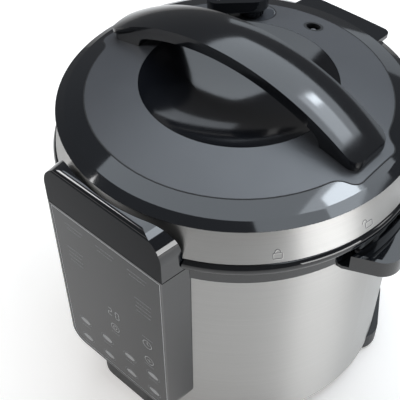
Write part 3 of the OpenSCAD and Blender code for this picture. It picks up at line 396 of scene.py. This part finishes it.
cover_mesh = nodes["lid_cover"].data.copy()
drops = [rim_drop(*v.co) for v in cover_mesh.vertices]
tilt = math.atan2(FOLD_Z - EDGE_Z + EDGE_DROP - FOLD_DROP, EDGE_R - FOLD_R)
normals = [n.vector.copy() for n in cover_mesh.corner_normals]
for face in cover_mesh.polygons:
    if face.normal.z > FACES_UP:
        for corner, i in zip(face.loop_indices, face.vertices):
            if drops[i][1]:
                co = cover_mesh.vertices[i].co
                a = math.atan2(co.y, co.x)
                normals[corner] = Vector((math.cos(a) * math.sin(tilt), math.sin(a) * math.sin(tilt),
                                          math.cos(tilt)))
for v, (drop, _) in zip(cover_mesh.vertices, drops):
    v.co.z -= drop * MM
cover_mesh.normals_split_custom_set(normals)
cover = ride(bpy.data.objects.new("lid_cover_shell", cover_mesh), "lid")
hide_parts("lid_cover")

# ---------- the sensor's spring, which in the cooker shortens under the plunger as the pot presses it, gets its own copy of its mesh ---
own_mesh(nodes["sensor_spring"])

# ---------- padlocks on the steel band, arrow on the ring ----------
CLOSED_ANGLE, OPEN_ANGLE = -38.6, -9.4
LOCK_RISE = 5.3 * MM
ARROW_DROP = 20.0 * MM
SHACKLE_R, SHACKLE_RY, BODY_TOP = 2.1, 2.8, 2.2
GLINT_SHIFT = 0.42

band_low, band_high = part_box("lid_band")
band_points = [v.co for v in nodes["lid_band"].data.vertices]
band_r0 = max(reach(p) for p in band_points if p.z < band_low.z + NEAR * MM)
band_r1 = max(reach(p) for p in band_points if p.z > band_high.z - NEAR * MM)


def band_radius(z):
    return band_r0 + (band_r1 - band_r0) * (z - band_low.z) / (band_high.z - band_low.z)


lock_body = (rounded(6.4, 4.4, 0.7), True)
closed_lock = [lock_body, (arc(0, BODY_TOP, SHACKLE_R, 0, 180, 10, SHACKLE_RY), False)]
open_lock = [lock_body, ([(-3.9 + x, BODY_TOP + y) for x, y in arc(0, 0, SHACKLE_R, 0, 180, 10, SHACKLE_RY)],
                         False)]
# Each padlock is raised in the steel and drawn as dark lines: painted shade of its relief
for name, angle, shape in (("lock_mark_closed", CLOSED_ANGLE, closed_lock),
                           ("lock_mark_open", OPEN_ANGLE, open_lock)):
    place = on_wall(angle, band_low.z + LOCK_RISE, band_radius)
    piece(name, line_mesh(shape, 0.55, 0.14, place), "emboss", "lid")
    # A lighter copy of the lines, shifted a little along and down: painted highlight on the relief
    glint = [([(x + GLINT_SHIFT, y - GLINT_SHIFT) for x, y in path], shut) for path, shut in shape]
    piece(name + "_glint", line_mesh(glint, 0.4, 0.10, place), "emboss_painted_highlight", "lid")

arrow = [([(-3.6, -2.2), (3.6, -2.2), (0.0, 2.6)], True)]
place = on_wall(CLOSED_ANGLE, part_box("top_ring")[1].z - ARROW_DROP, outer_radius("top_ring"))
piece("lock_arrow", line_mesh(arrow, 0.6, 0.12, place), "print", "base")

# ---------- painted shade in the groove round the satin disc: a thin dark ribbon on the cover ---
DOME_R = 480.0
GROOVE_W = 1.0


def edge_keys(face, mesh):
    """The face's edges as unordered pairs of corner positions: its neighbours may not share its vertices."""
    pts = [tuple(round(c, 6) for c in mesh.vertices[i].co) for i in face.vertices]
    return {frozenset((pts[i], pts[(i + 1) % len(pts)])) for i in range(len(pts))}


# The outline runs where a face of the disc's top meets one of its walls
disc_mesh = nodes["lid_disc"].data
top_edges, wall_edges = set(), set()
for face in disc_mesh.polygons:
    if face.normal.z > FACES_UP:
        top_edges |= edge_keys(face, disc_mesh)
    elif abs(face.normal.z) < FACES_LEVEL:
        wall_edges |= edge_keys(face, disc_mesh)
after = {}
for a, b in (tuple(e) for e in top_edges & wall_edges):
    after.setdefault(a, []).append(b)
    after.setdefault(b, []).append(a)
start = max(after, key=lambda q: (math.hypot(q[0], q[1]), q))
outline, at = [start], max(after[start])
while at != start and len(outline) < len(after):
    outline.append(at)
    at = next(q for q in after[at] if q != outline[-2])
crease_z = max(v.co.z for v in nodes["lid_cover"].data.vertices
               if abs(reach(v.co) / MM - CREASE_R) < NEAR) / MM


def on_dome(u, v, h):
    drop = math.sqrt(DOME_R ** 2 - CREASE_R ** 2) - math.sqrt(DOME_R ** 2 - u * u - v * v)
    return (u * MM, v * MM, (crease_z - drop + h - DOME_ROOT) * MM)


groove = [([(x / MM, y / MM) for x, y, z in outline], True)]
# The ribbon wears the dark rubber look: painted shade of the groove
piece("disc_groove_painted_shade", line_mesh(groove, GROOVE_W, 0.07, on_dome), "rubber", "lid")

# ---------- grip ribs and a plain steam mark on the valve's lever knob ----------
STEM_R = 9.5 * MM
LEVER_T = 10.0 * MM
LEVER_DIR = math.radians(235)
MARK_AT = 26.0
RIBS = 18
knob_low, knob_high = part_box("steam_knob")
weight_low, weight_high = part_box("valve_weight")
knob_x, knob_y = (weight_low.x + weight_high.x) / 2, (weight_low.y + weight_high.y) / 2


def on_stem(angle):
    def place(u, v, h):
        a = angle + u * MM / STEM_R
        r = STEM_R + (h - STEM_ROOT) * MM
        return (knob_x + r * math.cos(a), knob_y + r * math.sin(a), knob_low.z + v * MM)
    return place


def on_lever(u, v, h):
    x, y = (MARK_AT + u) * MM, v * MM
    c, n = math.cos(LEVER_DIR), math.sin(LEVER_DIR)
    return (knob_x + x * c - y * n, knob_y + x * n + y * c, knob_high.z + (h - FLAT_ROOT) * MM)


rib_top = (knob_high.z - LEVER_T - knob_low.z) / MM - 0.3
rib = [([(0.0, 0.4), (0.0, rib_top)], False)]
verts, faces = [], []
for i in range(RIBS):
    v, f = line_mesh(rib, 1.1, 0.7, on_stem(math.radians(360 / RIBS * i)))
    faces += [tuple(len(verts) + q for q in face) for face in f]
    verts += v
piece("knob_ribs", (verts, faces), "gloss_black", "knob")

waves = [([(-4.5 + 1.5 * k, y + 0.55 * math.sin(k * math.pi / 2)) for k in range(7)], False)
         for y in (-2.6, 0.0, 2.6)]
piece("steam_mark", line_mesh(waves, 0.7, 0.18, on_lever), "print", "knob")

# ---------- panel print and the painted highlight of the glass's edge, on the front of the glass: u across and v up, in mm ---
PRINT_T = 0.05
KEY_PITCH, KEY_ROWS, KEYS_MID = 26.7, (74.0, 50.0), 1.4
KEY_R, KEY_RY = 5.6, 3.0
EDGE_INSET = 0.6
WORD_T, WORD_STROKE = 0.04, 0.85
ICON_R = 4.6
DIGIT_Z, DIGIT_X, DIGIT_STEP = 121, -3.0, 8.0
DIGIT_W, DIGIT_H, SEGMENT = 1.9, 2.2, 0.82

glass_low, glass_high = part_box("panel_glass")
mid_u = (glass_low.x + glass_high.x) / 2 / MM
mid_v = (glass_low.z + glass_high.z) / 2 / MM


def on_glass(u, v, h):
    return (u * MM, glass_low.y - (h - FLAT_ROOT) * MM, v * MM)


# Puts a piece on the glass's front: the print, and the painted highlight of the glass's edge
def glass_print_and_highlight(name, mesh, look):
    piece(name, mesh, look, "base")


# Painted highlight of the glass's polished edge: a thin light line just inside its outline
rim = sorted({(round(v.co.x / MM, 3), round(v.co.z / MM, 3)) for v in nodes["panel_glass"].data.vertices
              if v.co.y < glass_low.y + NEAR * MM})
rim.sort(key=lambda q: math.atan2(q[1] - mid_v, q[0] - mid_u))
edge = [(u + math.copysign(EDGE_INSET, mid_u - u), v + math.copysign(EDGE_INSET, mid_v - v)) for u, v in rim]
glass_print_and_highlight("glass_edge_painted_highlight", line_mesh([(edge, True)], 0.5, 0.14, on_glass), "line")

# The two rows of keys: filled ovals with a ring round each one
keys = [(KEYS_MID + KEY_PITCH * (i - 1.5), z) for z in KEY_ROWS for i in range(4)]
glass_print_and_highlight("key_pads", patch_mesh([ring(x, z, KEY_R, 28, KEY_RY) for x, z in keys], PRINT_T, on_glass), "key")
rings = [(ring(x, z, KEY_R + 1.8, 32, KEY_RY + 1.8), True) for x, z in keys]
glass_print_and_highlight("key_rings", line_mesh(rings, 0.35, PRINT_T, on_glass), "print")


def label(x, z, width, seed):
    """A short word of print, kept as unreadable dashes of uneven length."""
    out, at, k = [], -width / 2, seed
    while at < width / 2 - 0.6:
        k = (k * 7 + 3) % 11
        end = min(at + 0.7 + 0.14 * k, width / 2)
        out.append(([(x + at, z), (x + end, z)], False))
        at = end + 0.55
    return out


words = []
for n, (x, z) in enumerate(keys):
    words += label(x, z - 7.6, 10.0, n + 1)
for n, z in enumerate((196.0, 191.5)):
    for m, x in enumerate((-33.0, 0.0, 33.0)):
        words += label(x, z, 19.0 - 3 * n, 3 * n + m + 2)
for n, z in enumerate((168.0, 163.0, 158.0, 153.0)):
    for m, x in enumerate((-36.0, 37.0)):
        words += label(x, z, 17.0 - 2 * (n % 2), n + 4 * m + 1)
words += label(38.5, 123.5, 11.0, 5) + label(38.5, 85.5, 11.0, 6) + label(0.7, 94.0, 10.0, 7)
glass_print_and_highlight("label_words", line_mesh(words, WORD_STROKE, WORD_T, on_glass), "print")

# Icons: a clock face, a plus in a ring, two rings
icons = [(ring(37.8, 115, ICON_R), True), ([(37.8, 115), (37.8, 118.2)], False),
         ([(37.8, 115), (40.2, 115)], False),
         (ring(38.4, 93, ICON_R), True), ([(36.0, 93), (40.8, 93)], False),
         ([(38.4, 90.6), (38.4, 95.4)], False),
         (ring(0.7, 102, ICON_R), True), (ring(0.7, 102, 2.0, 20), True)]
glass_print_and_highlight("icons", line_mesh(icons, 0.7, PRINT_T, on_glass), "key")

# Seven-segment digits of the clock display
SEGMENTS = {"a": ((-1, 2), (1, 2)), "b": ((1, 2), (1, 0)), "c": ((1, 0), (1, -2)), "d": ((-1, -2), (1, -2)),
            "e": ((-1, 0), (-1, -2)), "f": ((-1, 2), (-1, 0)), "g": ((-1, 0), (1, 0))}
TWO, ZERO = "abged", "abcdef"
digits = []
for n, lit in enumerate((TWO, ZERO)):
    cx = DIGIT_X + DIGIT_STEP * n
    for key in lit:
        a, b = SEGMENTS[key]
        mid = ((a[0] + b[0]) / 2, (a[1] + b[1]) / 2)
        digits.append(([(cx + DIGIT_W * (mid[0] + (q[0] - mid[0]) * SEGMENT),
                         DIGIT_Z + DIGIT_H * (mid[1] + (q[1] - mid[1]) * SEGMENT)) for q in (a, b)], False))
glass_print_and_highlight("display_digits", line_mesh(digits, 0.8, PRINT_T, on_glass), "key")

# ---------- stage ----------
FLOOR_SIZE, FLOOR_Z = 12, -0.0002
FLOOR_COLOUR = (0.91, 0.88, 0.85)
# Strength of the floor's own light in reflections and to the camera; the lamps' light on it keeps the shadow
FLOOR_MIRRORED, FLOOR_SEEN = 0.24, 0.30
WORLD_LIGHT, WORLD_SEEN = 0.14, 1.0

bpy.ops.mesh.primitive_plane_add(size=FLOOR_SIZE, location=(0, 0, FLOOR_Z))
floor = bpy.context.object
floor.name = "floor"
k = Mat("floor_white").set(Base_Color=FLOOR_COLOUR, Roughness=0.9)
path = k.n("ShaderNodeLightPath")
glow = k.n("ShaderNodeEmission")
glow.inputs["Color"].default_value = (*WHITE, 1)
k.link(k.span(path.outputs["Is Camera Ray"], FLOOR_MIRRORED, FLOOR_SEEN), glow.inputs["Strength"])
lit = k.n("ShaderNodeAddShader")
k.link(k.b.outputs[0], lit.inputs[0])
k.link(glow.outputs[0], lit.inputs[1])
seen = k.n("ShaderNodeMath", operation="MAXIMUM")
k.link(path.outputs["Is Camera Ray"], seen.inputs[0])
k.link(path.outputs["Is Glossy Ray"], seen.inputs[1])
choice = k.n("ShaderNodeMixShader")
k.link(seen.outputs[0], choice.inputs[0])
k.link(k.b.outputs[0], choice.inputs[1])
k.link(lit.outputs[0], choice.inputs[2])
k.link(choice.outputs[0], k.out.inputs[0])
floor.data.materials.append(k.m)

world = bpy.data.worlds.new("world")
scene.world = world
world.use_nodes = True
tree = world.node_tree
tree.nodes.clear()
path = tree.nodes.new("ShaderNodeLightPath")
choice = tree.nodes.new("ShaderNodeMixShader")
tree.links.new(path.outputs["Is Camera Ray"], choice.inputs[0])
for i, strength in enumerate((WORLD_LIGHT, WORLD_SEEN)):
    sky = tree.nodes.new("ShaderNodeBackground")
    sky.inputs["Color"].default_value = (*WHITE, 1)
    sky.inputs["Strength"].default_value = strength
    tree.links.new(sky.outputs[0], choice.inputs[i + 1])
tree.links.new(choice.outputs[0], tree.nodes.new("ShaderNodeOutputWorld").inputs[0])

# ---------- lamps: name, place, target, width, height, power, colour ----------
COOL = (0.84, 0.92, 1.0)
LAMPS = [
    ("softbox", (-0.10, 0.60, 1.60), (-0.10, 0.6001, 0), 2.0, 1.6, 24, COOL),
    ("overhead", (0.25, 0.72, 1.59), (0.25, 0.7201, 0), 0.14, 0.28, 1.2, COOL),
    ("glow", (0.50, 0.64, 1.595), (0.50, 0.6401, 0), 0.7, 0.55, 3.4, COOL),
    ("back_wall", (-0.40, 2.60, 0.95), (0, 0, 0.25), 3.0, 0.5, 4, COOL),
    ("fill", (1.62, -0.02, 0.34), (0, 0, 0.12), 0.95, 0.5, 10, WHITE),
    ("corner", (1.50, 1.10, 1.10), (0.05, 0, 0.24), 0.35, 0.45, 1.6, WHITE),
    ("side", (-1.1, -0.9, 1.1), (0, 0, 0.2), 0.5, 0.8, 12, WHITE),
]
for name, place, target, width, height, power, colour in LAMPS:
    lamp = bpy.data.lights.new(name, "AREA")
    lamp.color = colour
    lamp.shape = "RECTANGLE"
    lamp.size, lamp.size_y = width, height
    lamp.energy = power
    ob = bpy.data.objects.new(name, lamp)
    scene.collection.objects.link(ob)
    ob.location = place
    ob.rotation_euler = (Vector(target) - Vector(place)).to_track_quat("-Z", "Y").to_euler()

scene.view_settings.view_transform = "Standard"
